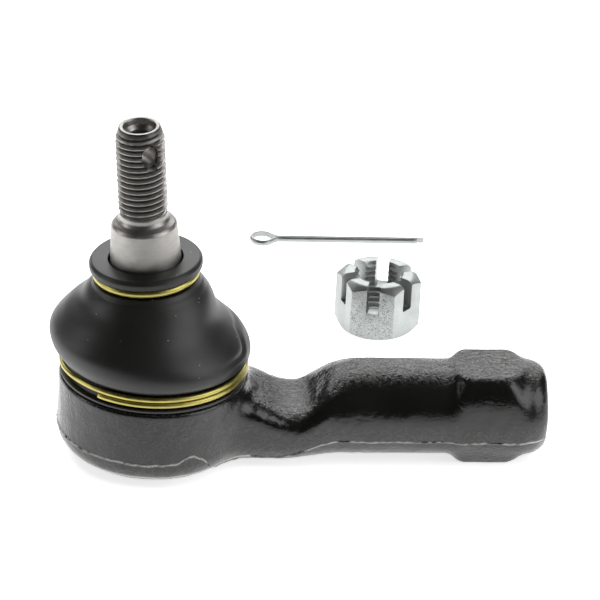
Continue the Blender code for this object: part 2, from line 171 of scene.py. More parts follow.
dull = add(tree, "Mix", {0: worn, 2: gloss.outputs[0], 3: 0.5}, data_type="FLOAT")
tree.links.new(bare.outputs[2], shader.inputs["Base Color"])
tree.links.new(dull.outputs[0], shader.inputs["Roughness"])
print("material:", black_coat.name)

# %% [markdown]
# ## Machined steel
# The ball stud is turned from bar, its taper is ground, and its thread is rolled.  Bare
# steel is a metal, so its colour is its reflection, and the tool leaves fine rings round the
# axis.  Grooves could be cut in the mesh, but a wave in the bump is enough for marks this
# fine.  Real ones are about 0.1 mm apart, and they are drawn 0.3 mm apart here so that they
# show.  The thread's roots are drawn darker, found from the distance to the axis.

# %% Steel material
turned_steel, tree, shader, place = start_material("turned_medium_carbon_steel", "#8d8b87", 0.3, 1.0)
rings = add(tree, "TexWave", {"Vector": place, "Scale": 1000.0, "Distortion": 0.6, "Detail": 2.0},
            wave_type="BANDS", bands_direction="Z")
stretch = add(tree, "Mapping", {"Vector": place, "Scale": (1.0, 1.0, 9.0)})
streaks = add(tree, "TexNoise", {"Vector": stretch.outputs[0], "Scale": 260.0, "Detail": 4.0})
grime = add(tree, "TexNoise", {"Vector": place, "Scale": 160.0, "Detail": 5.0})
bump = add(tree, "Bump", {"Strength": 0.25, "Distance": 0.00003, "Height": rings.outputs[1]})
tree.links.new(bump.outputs[0], shader.inputs["Normal"])
gloss = add(tree, "MapRange", {"Value": streaks.outputs[0], "From Min": 0.3, "From Max": 0.7,
                               "To Min": 0.34, "To Max": 0.52})
tree.links.new(gloss.outputs[0], shader.inputs["Roughness"])
tint = add(tree, "Mix", {0: grime.outputs[0], 6: linear("#85837f"), 7: linear("#b0aeaa")},
           data_type="RGBA")
parts = add(tree, "SeparateXYZ", {0: place})
across = add(tree, "CombineXYZ", {0: parts.outputs[0], 1: parts.outputs[1]})
radius = add(tree, "VectorMath", {0: across.outputs[0]}, operation="LENGTH")
# darker towards the thread's roots
in_root = add(tree, "MapRange", {"Value": radius.outputs["Value"], "From Min": 0.0051,
                                 "From Max": 0.0058, "To Min": 0.85, "To Max": 0.0})
on_thread = add(tree, "Math", {0: parts.outputs[2], 1: 0.0508}, operation="GREATER_THAN")
outside = add(tree, "Math", {0: radius.outputs["Value"], 1: 0.0048}, operation="GREATER_THAN")
root_darkening = add(tree, "Math", {0: in_root.outputs[0], 1: on_thread.outputs[0]}, operation="MULTIPLY")
root_darkening = add(tree, "Math", {0: root_darkening.outputs[0], 1: outside.outputs[0]}, operation="MULTIPLY")
root_darkened = add(tree, "Mix", {0: root_darkening.outputs[0], 6: tint.outputs[2], 7: linear("#2b2a28")},
            data_type="RGBA")
tree.links.new(root_darkened.outputs[2], shader.inputs["Base Color"])
print("material:", turned_steel.name)

# %% [markdown]
# ## Moulded rubber
# The boot is chloroprene rubber, pressed in a steel mould.  It has a satin skin, softer than
# the paint.  A faint 0.4 mm grain comes from the mould, and slow cloudy patches come from
# handling.  A few pale specks of dust sit on it, because rubber always gathers some.  They
# could be scattered grains, but the cells of a Voronoi pattern cost nothing: the middle of
# about one cell in six is drawn pale.

# %% Rubber material
moulded_rubber, tree, shader, place = start_material("moulded_chloroprene_rubber", "#10100f", 0.4)
grain = add(tree, "TexNoise", {"Vector": place, "Scale": 2300.0, "Detail": 2.0})
bump = add(tree, "Bump", {"Strength": 0.22, "Distance": 0.00004, "Height": grain.outputs[0]})
tree.links.new(bump.outputs[0], shader.inputs["Normal"])
cloud = add(tree, "TexNoise", {"Vector": place, "Scale": 70.0, "Detail": 4.0})
gloss = add(tree, "MapRange", {"Value": cloud.outputs[0], "From Min": 0.3, "From Max": 0.7,
                               "To Min": 0.38, "To Max": 0.47})
tree.links.new(gloss.outputs[0], shader.inputs["Roughness"])
tint = add(tree, "Mix", {0: cloud.outputs[0], 6: linear("#0e0e0d"), 7: linear("#171716")},
           data_type="RGBA")
specks = add(tree, "TexVoronoi", {"Vector": place, "Scale": 520.0})
near = add(tree, "Math", {0: specks.outputs["Distance"], 1: 0.085}, operation="LESS_THAN")
choice = add(tree, "SeparateColor", {0: specks.outputs["Color"]})
few = add(tree, "Math", {0: choice.outputs[0], 1: 0.16}, operation="LESS_THAN")
dust = add(tree, "Math", {0: near.outputs[0], 1: few.outputs[0]}, operation="MULTIPLY")
dusted = add(tree, "Mix", {0: dust.outputs[0], 6: tint.outputs[2], 7: linear("#77756f")},
             data_type="RGBA")
tree.links.new(dusted.outputs[2], shader.inputs["Base Color"])
print("material:", moulded_rubber.name)

# %% [markdown]
# ## Zinc, bright and yellow
# The nut and the pin are zinc plated and passivated clear, which leaves a pale, slightly
# blue silver.  The two wire rings have a yellow chromate over the zinc, an olive gold that
# drifts towards green and brown.  Both are metals with a soft plated bloom, so one function
# makes both, from two tints that drift and a grain of about half a millimetre.

# %% Zinc materials
def zinc_plate(name, low, high, grain_scale, grain_strength, gloss_low, gloss_high):
    """Plated steel: two tints that drift, a grain in the bump and an uneven gloss."""
    material, tree, shader, place = start_material(name, low, gloss_low, 1.0)
    drift = add(tree, "TexNoise", {"Vector": place, "Scale": 240.0, "Detail": 4.0})
    tint = add(tree, "Mix", {0: drift.outputs[0], 6: linear(low), 7: linear(high)}, data_type="RGBA")
    tree.links.new(tint.outputs[2], shader.inputs["Base Color"])
    grain = add(tree, "TexNoise", {"Vector": place, "Scale": grain_scale, "Detail": 3.0})
    bump = add(tree, "Bump", {"Strength": grain_strength, "Distance": 0.00005,
                              "Height": grain.outputs[0]})
    tree.links.new(bump.outputs[0], shader.inputs["Normal"])
    gloss = add(tree, "MapRange", {"Value": grain.outputs[0], "From Min": 0.3, "From Max": 0.7,
                                   "To Min": gloss_low, "To Max": gloss_high})
    tree.links.new(gloss.outputs[0], shader.inputs["Roughness"])
    print("material:", material.name)
    return material


bright_zinc = zinc_plate("clear_passivated_zinc", "#929695", "#b1b5b3", 2400.0, 0.6, 0.36, 0.54)
yellow_zinc = zinc_plate("yellow_chromated_zinc", "#8f8646", "#c3b96e", 1500.0, 0.25, 0.28, 0.42)

# %% [markdown]
# ## The nut's darker front facet
# The facet of the nut that faces the front is drawn darker than the others, in a fine
# speckle.  The nut gets its own copy of the zinc with that speckle added: a 0.4 mm speckle
# that only shows where the facet is, which its own position tells.

# %% Darker front facet
nut_zinc = bright_zinc.copy()
nut_zinc.name = "front_speckled_clear_zinc"
tree = nut_zinc.node_tree
shader = tree.nodes["Principled BSDF"]
place = add(tree, "TexCoord").outputs["Object"]
parts = add(tree, "SeparateXYZ", {0: place})
# the facet facing the front is drawn darker in a speckle
on_facet = add(tree, "MapRange", {"Value": parts.outputs[1], "From Min": -0.0092, "From Max": -0.0094})
speckle = add(tree, "TexNoise", {"Vector": place, "Scale": 3000.0, "Detail": 1.0, "Distortion": 1.5})
dark_speckle = add(tree, "MapRange", {"Value": speckle.outputs[0], "From Min": 0.46, "From Max": 0.36})
amount = add(tree, "Math", {0: dark_speckle.outputs[0], 1: on_facet.outputs[0]}, operation="MULTIPLY")
speckled_colour = add(tree, "Mix", {0: amount.outputs[0], 6: shader.inputs["Base Color"].links[0].from_socket,
                                 7: linear("#5d605e")}, data_type="RGBA")
tree.links.new(speckled_colour.outputs[2], shader.inputs["Base Color"])
print("material:", nut_zinc.name)

# %% [markdown]
# ## The finishes inside
# The liners round the ball are acetal, a slippery moulded plastic.  The disc spring is
# hardened and tempered steel, the cover is pressed sheet with a black phosphate coat, and
# the seal is nitrile rubber.  They barely show, so a plain tint would pass, but a loose
# piece is also looked at by itself: one function gives each a drift of colour and a grain.

# %% Hidden finishes
def fine_finish(name, low, high, roughness, metallic, grain_scale, depth):
    """A plain finish with a drift of colour and a fine grain."""
    material, tree, shader, place = start_material(name, low, roughness, metallic)
    drift = add(tree, "TexNoise", {"Vector": place, "Scale": grain_scale / 8, "Detail": 4.0})
    tint = add(tree, "Mix", {0: drift.outputs[0], 6: linear(low), 7: linear(high)}, data_type="RGBA")
    tree.links.new(tint.outputs[2], shader.inputs["Base Color"])
    grain = add(tree, "TexNoise", {"Vector": place, "Scale": grain_scale, "Detail": 3.0})
    bump = add(tree, "Bump", {"Strength": 0.4, "Distance": depth, "Height": grain.outputs[0]})
    tree.links.new(bump.outputs[0], shader.inputs["Normal"])
    print("material:", material.name)
    return material


acetal = fine_finish("moulded_acetal", "#d9d5c8", "#e6e3d9", 0.38, 0.0, 1800.0, 0.00002)
tempered_spring = fine_finish("tempered_spring_steel", "#4f4e50", "#6a6764", 0.34, 1.0, 1600.0, 0.00003)
phosphate_plate = fine_finish("phosphated_pressed_sheet", "#1b1c1e", "#2b2c2e", 0.46, 0.0, 2200.0, 0.00005)
nitrile = fine_finish("moulded_nitrile_rubber", "#131313", "#1b1b1b", 0.55, 0.0, 2000.0, 0.00003)

# %% [markdown]
# ## Tools for shapes
# Most pieces here are turned on a lathe or moulded round an axis, so one tool spins an
# outline, and another rounds an outline's corners first, because a real edge is never sharp
# and the thin bright line along it is what makes metal look like metal.  Blender's own spin
# and bevel tools could do much of this, but points from numbers are easier to change.

# %% Shape helpers
def new_object(name, data):
    """Put a mesh, a light or a camera into the scene."""
    made = bpy.data.objects.new(name, data)
    bpy.context.scene.collection.objects.link(made)
    return made


def make_piece(name, points, faces, material, sharp_degrees=40.0):
    """A mesh object from points in millimetres, welded, and shaded smooth up to an angle."""
    bm = bmesh.new()
    verts = [bm.verts.new(point) for point in (np.asarray(points, float) * MM).tolist()]
    for face in faces:
        bm.faces.new([verts[index] for index in face])
    bmesh.ops.remove_doubles(bm, verts=bm.verts, dist=0.001 * MM)
    bmesh.ops.dissolve_degenerate(bm, edges=bm.edges, dist=0.0005 * MM)
    bmesh.ops.recalc_face_normals(bm, faces=bm.faces)
    mesh = bpy.data.meshes.new(name)
    bm.to_mesh(mesh)
    bm.free()
    mesh.materials.append(material)
    made = new_object(name, mesh)
    shade(made, sharp_degrees)
    return made


def shade(made, sharp_degrees):
    """Smooth shading that breaks where the surface turns sharply."""
    made.data.shade_smooth()
    made.data.set_sharp_from_angle(angle=math.radians(sharp_degrees))


def softened(outline, radius, closed=False, steps=4):
    """Round each corner of a flat outline with a small curve."""
    points = [Vector(point) for point in outline]
    result = []
    for index, here in enumerate(points):
        if not closed and index in (0, len(points) - 1):
            result.append(tuple(here))
            continue
        before = points[index - 1]
        after = points[(index + 1) % len(points)]
        reach = min(radius, (before - here).length * 0.45, (after - here).length * 0.45)
        start = here + (before - here).normalized() * reach
        stop = here + (after - here).normalized() * reach
        for step in range(steps + 1):
            share = step / steps
            result.append(tuple(start * (1 - share) ** 2 + here * 2 * share * (1 - share)
                                + stop * share ** 2))
    return result


def through(points, step):
    """A smooth curve through points, sampled about one step apart."""
    spots = [np.array(point, float) for point in points]
    spots = [2 * spots[0] - spots[1]] + spots + [2 * spots[-1] - spots[-2]]
    result = []
    for a, b, c, d in zip(spots, spots[1:], spots[2:], spots[3:]):
        count = max(2, int(np.linalg.norm(c - b) / step))
        for index in range(count):
            t = index / count
            result.append(0.5 * (2 * b + (c - a) * t + (2 * a - 5 * b + 4 * c - d) * t * t
                                 + (3 * b - a - 3 * c + d) * t ** 3))
    result.append(spots[-2])
    return [tuple(point) for point in result]


def grid_faces(rows, columns, closed_rows):
    """Quads over a grid whose columns always close, and whose rows may."""
    faces = []
    for row in range(rows if closed_rows else rows - 1):
        after = (row + 1) % rows
        for column in range(columns):
            beside = (column + 1) % columns
            faces.append((row * columns + column, row * columns + beside,
                          after * columns + beside, after * columns + column))
    return faces


def ring_at(radius, height, angles):
    """Points round the vertical axis, with one radius or one for each angle."""
    return np.stack([radius * np.cos(angles), radius * np.sin(angles),
                     np.full(len(angles), height)], axis=1)


def turned(name, outline, material, segments=96, closed=False, along_x=False, sharp_degrees=40.0):
    """Spin an outline of (radius, height) points about the vertical axis, or about +X."""
    angles = np.arange(segments) * math.tau / segments
    points = np.concatenate([ring_at(radius, height, angles) for radius, height in outline])
    if along_x:
        points = points[:, [2, 0, 1]]
    return make_piece(name, points, grid_faces(len(outline), segments, closed), material,
                      sharp_degrees)


def boolean(target, tool, operation):
    """Add or cut with a tool object, apply it, and throw the tool away."""
    modifier = target.modifiers.new("cut", "BOOLEAN")
    modifier.operation = operation
    modifier.solver = "EXACT"
    modifier.material_mode = "TRANSFER"
    modifier.object = tool
    apply_modifiers(target)
    bpy.data.objects.remove(tool, do_unlink=True)


def apply_modifiers(target):
    """Replace an object's mesh by what its modifiers make of it."""
    bpy.context.view_layer.update()
    result = bpy.data.meshes.new_from_object(target.evaluated_get(bpy.context.evaluated_depsgraph_get()))
    target.modifiers.clear()
    target.data = result


def place_at(made, centre, turn=None):
    """Stand an object somewhere, in millimetres, with a rotation matrix."""
    made.matrix_world = Matrix.Translation(Vector(centre) * MM) @ (turn or Matrix.Identity(4))
    bpy.context.view_layer.update()


def ease(share):
    """Smooth step from 0 to 1."""
    share = np.clip(share, 0.0, 1.0)
    return share * share * (3 - 2 * share)


def thread_height(turns):
    """Height of a 60 degree thread, 0 in the root and 1 on the crest, from turns of pitch."""
    saw = np.abs((turns % 1.0) - 0.5) * 2
    return np.clip((saw - 0.16) / (0.84 - 0.16), 0.0, 1.0)


print("thread crest and root:", thread_height(np.array([0.0, 0.5])))

# %% [markdown]
# ## The forging's shape as a distance
# A forging has no sharp corner anywhere, because steel has to flow into the dies.  That is
# hard to get from bevels, so this shape is written as a distance instead: a function that
# says how far any point is from the surface.  Two distances can be joined with a soft
# minimum, which makes the same round fillet that the die sinker cuts.

# %% Round corners and ripples
def soft_max(a, b, blend):
    """The larger of two distances, rounded where they meet: a soft outer edge."""
    share = np.maximum(blend - np.abs(a - b), 0.0) / blend
    return np.maximum(a, b) + share * share * blend * 0.25


def soft_min(a, b, blend):
    """The smaller of two distances, rounded where they meet: a fillet."""
    return -soft_max(-a, -b, blend)


def rounded_corner(across, up, radius):
    """Distance to a quarter whose outer corner has a radius."""
    outside = np.hypot(np.maximum(across, 0.0), np.maximum(up, 0.0))
    return outside + np.minimum(np.maximum(across, up), 0.0) - radius


def ripple(points, seed, longest, shortest, count):
    """Smooth random ripples, made of many plane waves."""
    rng = np.random.default_rng(seed)
    total = np.zeros(len(points))
    for _ in range(count):
        direction = rng.normal(size=3)
        direction /= np.linalg.norm(direction)
        wave = rng.uniform(shortest, longest)
        total += np.sin(points @ direction * (math.tau / wave) + rng.uniform(0, math.tau))
    return total / math.sqrt(count)


print("two equal distances, softened:", soft_max(np.zeros(1), np.zeros(1), 2.0))

# %% [markdown]
# ## Socket, web and shank
# The socket is a thick round cup, and the shank a round bar.  Between them the bar is
# squared and scooped from above, so that the steering arm clears it.  They could be three
# solids joined by a Boolean, but that leaves a crease where the real forging has a fillet,
# so each is a distance, and the scoop is one more distance cut from the bar.

# %% Socket and shank distances
SHANK_R = 11.75
HEX_FLATS = 24.4
PARTING_Z = 8.0
SHOULDER_Z = 22.0
SPIGOT_R = 19.6
SPIGOT_TOP = housing_high.z
RIM_ROUNDING = 6.5
END_ROUNDING = 5.6
shank_z = HEX_FLATS / 2


def socket_distance(x, y, z):
    """Round socket with a deep lower rounding, a ledge and the collar for the boot."""
    radius = np.hypot(x, y)
    low = rounded_corner(radius - (socket_r - RIM_ROUNDING), (rim_z + RIM_ROUNDING) - z, RIM_ROUNDING)
    high = rounded_corner(radius - (socket_r - 0.9), z - (SHOULDER_Z - 0.9), 0.9)
    collar = rounded_corner(radius - (SPIGOT_R - 0.4), z - (SPIGOT_TOP - 0.4), 0.4)
    return soft_min(np.maximum(low, high), np.maximum(collar, 15.0 - z), 0.3)


def web_height(x):
    """Top of the web: it falls from the socket, runs flat, and climbs to the round shank."""
    return 14.7 + 5.0 * (1 - ease((x - 21.0) / 13.0)) + 9.6 * ease((x - 35.6) / 13.0)


def shank_distance(x, y, z):
    """Squared neck that turns into the round shank, with its domed and faced end."""
    share = ease((x - 32.0) / 14.0)
    wide = 12.6 + (SHANK_R - 12.6) * share
    tall = 12.0 + (SHANK_R - 12.0) * share
    square = 2.7 + (2.0 - 2.7) * share
    up = z - shank_z
    reach = ((np.abs(y / wide) + 1e-9) ** square + (np.abs(up / tall) + 1e-9) ** square) ** (1 / square)
    section = (reach - 1.0) * np.minimum(wide, tall)
    around = np.hypot(y, up)
    dome_x = shank_end_x - math.sqrt(END_ROUNDING ** 2 - 3.1 ** 2)
    dome = rounded_corner(around - (SHANK_R - END_ROUNDING), x - dome_x, END_ROUNDING)
    section = np.maximum(section, np.where(x > 60.0, dome, section))
    section = soft_max(section, x - shank_end_x, 0.4)
    section = np.maximum(section, 8.0 - x)
    return soft_max(section, z - web_height(x), 2.2 + 3.4 * (1 - ease((x - 44.0) / 8.0)))


print("distance at the socket's side:", socket_distance(np.array([-socket_r]), 0.0, 15.0))

# %% [markdown]
# ## Wrench flats
# A hexagon near the shank's end takes a wrench when the joint is screwed on.  The dies leave
# its flats rough, with corners that are well rounded and not all alike: the front corner is
# trimmed upright, level with the shank.  Six planes and that trimming plane are joined one
# by one, each with its own rounding, because a bevel would give every corner the same one.
# Both ends fall away in cones.

# %% Wrench flats distance
CORNER_R = 14.09
WRENCH_START_X = 76.0
WRENCH_END_X = 88.3
FLATS = ((90, 0.0, 0.5), (150, 1.5, 1.8), (178, -0.25, 1.6), (210, 0.0, 1.6), (270, 0.0, 0.5),
         (330, 0.0, 2.8))


def hexagon_distance(x, y, z):
    """Planes by their angle, how far each is moved out, and the rounding it joins with."""
    up = z - shank_z
    sides = y * 0.866 + up * 0.5 - HEX_FLATS / 2
    for degrees, moved_out, rounding in FLATS:
        angle = math.radians(degrees)
        flat = y * math.cos(angle) + up * math.sin(angle) - HEX_FLATS / 2 - moved_out
        sides = soft_max(sides, flat, rounding)
    around = np.hypot(y, up)
    outer = 0.84 * (around - CORNER_R) + 0.542 * (x - WRENCH_END_X)
    inner = 0.7 * (around - CORNER_R) + 0.714 * (WRENCH_START_X - x)
    sides = soft_max(sides, outer, 0.9)
    return np.maximum(soft_max(sides, inner, 1.2), x - (shank_end_x - 3.5))


print("distance on the top flat:", hexagon_distance(np.array([82.0]), 0.0, HEX_FLATS))

# %% [markdown]
# ## Flash line and forged skin
# The dies meet on a parting plane, and a little steel squeezes out there.  It is trimmed off
# but leaves a thin raised line round the whole forging, which dips where the neck was bent.
# Everything outside is slightly uneven, from scale in the dies and from the shot blasting.
# A displacement texture could do this.  Adding it to the distance keeps it sharp and real.

# %% Whole forging
RIDGE_HEIGHT = 0.3
RIDGE_HALF_WIDTH = 0.24


def parting_height(x, y):
    """Height of the flash line at a place on the forging."""
    dip = ease((x - 11.0) / 4.5) - ease((x - 30.0) / 15.0)
    rise = 1.9 * np.exp(-((x - 8.3) / 2.3) ** 2) * (y < 0)
    wander = 0.12 * np.sin(x * 0.55 + 0.4) + 0.07 * np.sin(x * 1.7 + y)
    return PARTING_Z - 5.0 * dip + rise + wander


def forging_distance(points, detailed):
    """Distance to the finished forging; details are the flash line and the rough skin."""
    x, y, z = points.T
    bar = soft_min(shank_distance(x, y, z), hexagon_distance(x, y, z), 1.1)
    whole = soft_min(socket_distance(x, y, z), bar, 3.6)
    if detailed:
        off_plane = (z - parting_height(x, y)) / RIDGE_HALF_WIDTH
        ridge = RIDGE_HEIGHT * np.exp(-off_plane ** 2) * (z < 12.0)
        whole = whole - ridge * ease((94.5 - x) / 3.0)
        neck = ease((x - 20.0) / 5.0) * (1 - ease((x - 52.0) / 12.0))
        whole = whole + 0.035 * ripple(points, 3, 9.0, 4.0, 24)
        whole = whole + (0.009 + 0.012 * neck) * ripple(points, 5, 2.6, 1.3, 30)
    return whole


def settle(points, detailed, rounds):
    """Slide points along the slope of the distance until they lie on the surface."""
    nudge = 0.02
    for _ in range(rounds):
        value = forging_distance(points, detailed)
        slope = np.empty_like(points)
        for axis in range(3):
            step = np.zeros(3)
            step[axis] = nudge
            slope[:, axis] = (forging_distance(points + step, detailed)
                              - forging_distance(points - step, detailed)) / (2 * nudge)
        size = np.maximum((slope ** 2).sum(axis=1), 0.05)
        points = points - np.clip(value / size, -0.4, 0.4)[:, None] * slope
    return points


print("flash line height at the socket and the shank:", round(float(parting_height(0.0, 1.0)), 2),
      round(float(parting_height(60.0, 1.0)), 2))

# %% [markdown]
# ## Moving many points at once
# The forging has over a hundred thousand points, so they are read into one array, moved
# together and written back.  A loop over single vertices would take minutes.  Drawing each
# point towards its neighbours evens out the squares before the points are slid again.

# %% Read, write and relax points
def read_points(mesh):
    """A mesh's vertices as an array in millimetres."""
    flat = np.empty(len(mesh.vertices) * 3)
    mesh.vertices.foreach_get("co", flat)
    return flat.reshape(-1, 3) / MM


def write_points(mesh, points):
    """Put an array of millimetres back into a mesh."""
    mesh.vertices.foreach_set("co", (points * MM).ravel())
    mesh.update()


def relaxed(mesh, points, share):
    """Each vertex drawn towards the middle of its neighbours."""
    edges = np.empty(len(mesh.edges) * 2, int)
    mesh.edges.foreach_get("vertices", edges)
    edges = edges.reshape(-1, 2)
    total = np.zeros_like(points)
    count = np.zeros(len(points))
    for a, b in ((0, 1), (1, 0)):
        for axis in range(3):
            total[:, axis] += np.bincount(edges[:, a], points[edges[:, b], axis], len(points))
        count += np.bincount(edges[:, a], minlength=len(points))
    return points * (1 - share) + total / count[:, None] * share


print("housing in the model has", len(frame["nodes"]["housing"].data.vertices), "points")

# %% [markdown]
# ## Forging the housing
# The mechanical model's own housing gives the rough lump: its bores are plugged, it is
# remeshed into even small squares, and every vertex is slid onto the distance above.  Along
# the flash line the squares are split finer, because that line is only half a millimetre.
# Marching over the distance from nothing would also work, but it needs an extra library.

# %% Forge the housing
SQUARE_SIZE = 0.42


def forge_housing():
    """Remesh the plugged housing, slide it onto the forging's surface and detail it."""
    lump = new_object("housing_forging", frame["nodes"]["housing"].data.copy())
    weld = lump.modifiers.new("weld", "WELD")
    weld.merge_threshold = 0.01 * MM
    apply_modifiers(lump)
    plug = turned("socket_plug", [(0.0, rim_z + 0.15), (17.8, rim_z + 0.15),
                                  (17.8, SPIGOT_TOP - 0.2), (0.0, SPIGOT_TOP - 0.2)], black_coat, 48)
    boolean(lump, plug, "UNION")
    plug = turned("bore_plug", [(0.0, 50.0), (8.6, 50.0), (8.6, shank_end_x - 0.3),
                                (0.0, shank_end_x - 0.3)], black_coat, 40, along_x=True)
    place_at(plug, (0, 0, shank_z), Matrix.Rotation(0.03, 4, "X"))
    boolean(lump, plug, "UNION")
    remesh = lump.modifiers.new("remesh", "REMESH")
    remesh.mode = "VOXEL"
    remesh.voxel_size = SQUARE_SIZE * MM
    apply_modifiers(lump)
    lump.data.materials.clear()
    lump.data.materials.append(black_coat)
    points = read_points(lump.data)
    for _ in range(3):
        points = relaxed(lump.data, points, 0.5)
        points = settle(points, False, 2)
    write_points(lump.data, points)
    bm = bmesh.new()
    bm.from_mesh(lump.data)
    off = {vert: abs(vert.co.z / MM - float(parting_height(vert.co.x / MM, vert.co.y / MM)))
           for vert in bm.verts}
    near = [edge for edge in bm.edges if max(off[vert] for vert in edge.verts) < 1.1]
    bmesh.ops.subdivide_edges(bm, edges=near, cuts=2, use_grid_fill=True)
    bm.to_mesh(lump.data)
    bm.free()
    points = settle(read_points(lump.data), False, 2)
    points = settle(points, True, 4)
    write_points(lump.data, points)
    return lump


housing_forging = forge_housing()
print("forging has", len(housing_forging.data.vertices), "vertices")

# %% [markdown]
# ## Worn lines, scale and painted light
# Paint pulls thin over a sharp ridge, and handling rubs it through.  The flash line and the
# rolled lower rim show steel for that reason, in broken stretches.  Painting this by hand
# would tie it to one mesh, so it is worked out from the shape: how near each point is to
# the line, and which way it faces for the heavy scale, whose pale flecks also paint the light
# that falls on the up faces and the bright floor seen in the down faces.

# %% Mark the surface
def mark_surface(made):
    """Store where the coat is worn, and where scale is heavy with pale flecks that are also painted light,
    on every point.
    """
    points = read_points(made.data)
    x, y, z = points.T
    off_line = np.exp(-((z - parting_height(x, y) - 0.1) / 0.2) ** 2) * (z < 12.0)
    broken = np.clip(0.55 + 0.5 * ripple(points, 9, 5.0, 1.5, 20), 0.0, 1.0)
    radius = np.hypot(x, y)
    rim = np.exp(-((z - rim_z - 2.2) / 0.4) ** 2) * (radius > 17.3) * (x < 24.0)
    worn = np.clip(off_line * broken * 1.6 + rim, 0.0, 1.0)
    normals = np.empty(len(points) * 3, np.float32)
    made.data.vertex_normals.foreach_get("vector", normals)
    upright = normals.reshape(-1, 3)[:, 2]
    # faces looking up or down: heavy scale, and pale flecks that paint the light from above and the floor
    # below
    scale_and_light_share = np.maximum(ease((upright - 0.74) / 0.2), 0.45 * ease((0.08 - upright) / 0.12))
    for name, values in (("worn_edge", worn), ("scale_and_painted_light", scale_and_light_share)):
        layer = made.data.attributes.new(name, "FLOAT", "POINT")
        layer.data.foreach_set("value", values.astype(np.float32))
    print("worn share of the points:", round(float(worn.mean()), 4))


print("surface marks ready, flash line at", PARTING_Z, "mm")

# %% [markdown]
# ## Machining the housing
# After forging, a lathe bores the socket for the ball and its liners, and the shank is
# drilled and tapped for the tie rod.  These cuts are crisp and true, unlike the skin round
# them, so they are made last, with turned cutters.  Cutting the thread into the forging
# would slow every later step, so it is its own thin turned sleeve.

# %% Bore the socket and tap the shank
socket_cut = [(0.0, rim_z - 2.0), (15.3, rim_z - 2.0), (15.3, rim_z + 0.8), (16.8, rim_z + 0.8),
              (16.8, 6.8), (14.0, 6.8), (14.0, 21.4), (10.15, 21.4), (10.15, 22.6),
              (13.62, SPIGOT_TOP + 1.0), (0.0, SPIGOT_TOP + 1.0)]
boolean(housing_forging, turned("socket_cutter", socket_cut, turned_steel, 96), "DIFFERENCE")
bore_cut = [(0.0, shank_end_x - 41.5), (7.1, shank_end_x - 38.0), (7.1, shank_end_x - 0.9),
            (7.9, shank_end_x + 0.4), (0.0, shank_end_x + 0.4)]
bore_tool = turned("bore_cutter", bore_cut, turned_steel, 96, along_x=True)
place_at(bore_tool, (0, 0, shank_z), Matrix.Rotation(0.02, 4, "X"))
boolean(housing_forging, bore_tool, "DIFFERENCE")
shade(housing_forging, 55.0)
mark_surface(housing_forging)
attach(housing_forging, "housing")
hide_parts("housing")


def threaded_surface(rows, radius_at, segments):
    """A tube whose radius follows a thread: rows of heights, and a radius for each angle."""
    angles = np.arange(segments) * math.tau / segments
    return [ring_at(radius_at(row, angles), row, angles) for row in rows]


def shank_thread_radius(height, angles):
    """Inside radius of the M14 thread, opened by a chamfer at the mouth."""
    groove = thread_height(height / 1.5 - angles / math.tau)
    opened = 6.35 + 0.7 * (1 - groove)
    return np.maximum(opened, 6.35 + (height - (shank_end_x - 0.9)) * 0.9)


rows = np.arange(shank_end_x - 37.5, shank_end_x - 0.2, 0.14)
inner = threaded_surface(rows, shank_thread_radius, 72)
outer = threaded_surface(rows[::-1][::12], lambda height, angles: np.full(len(angles), 7.3), 72)
sleeve_points = np.concatenate(inner + outer)[:, [2, 0, 1]]
shank_thread = make_piece("shank_thread", sleeve_points,
                          grid_faces(len(inner) + len(outer), 72, True), turned_steel, 50.0)
place_at(shank_thread, (0, 0, shank_z))
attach(shank_thread, "housing")
print("housing faces after machining:", len(housing_forging.data.polygons))

# %% [markdown]
# ## Ball stud
# The stud is one steel bar: a ball, a neck, a ground taper that pulls into the steering arm,
# and a rolled M12 thread with a cross hole for the split pin.  Spinning an outline gives
# everything but the thread, so the radius is a function of angle too: the smaller of the
# outline and the thread, which makes the thread run out on its chamfers as a real one does.

# %% Turn the stud
BALL_R = 11.5
PIN_HOLE_HEIGHT = 67.4
PIN_HOLE_TURN = math.radians(25.0)
ball_arc = [(BALL_R * math.cos(angle), BALL_R * math.sin(angle))
            for angle in np.linspace(-1.004, 1.102, 34)]
stud_outline = [(0.0, -9.7), (5.9, -9.7)] + ball_arc
stud_outline += softened([(5.2, 10.3), (5.2, 24.0), (5.7, 26.5), (7.6, 29.0), (8.8, 30.6), (8.8, 36.5),
                          (8.02, 47.2), (7.5, 47.9), (6.4, 48.6), (5.8, 49.4), (5.8, 50.5), (5.15, 50.9),
                          (5.15, 51.2), (6.0, 51.8), (6.0, 70.7), (5.0, 73.7), (4.0, 73.7), (3.7, 72.2),
                          (2.9, 71.0), (0.0, 70.7)], 0.3)


def finely(outline, step, low, high):
    """Add points along an outline between two heights."""
    result = [outline[0]]
    for before, after in zip(outline, outline[1:]):
        inside = low - 0.01 <= min(before[1], after[1]) and max(before[1], after[1]) <= high + 0.01
        gap = math.hypot(after[0] - before[0], after[1] - before[1])
        count = max(1, int(gap / step)) if inside else max(1, int(gap / 1.2))
        for index in range(1, count + 1):
            share = index / count
            result.append((before[0] + (after[0] - before[0]) * share,
                           before[1] + (after[1] - before[1]) * share))
    return result


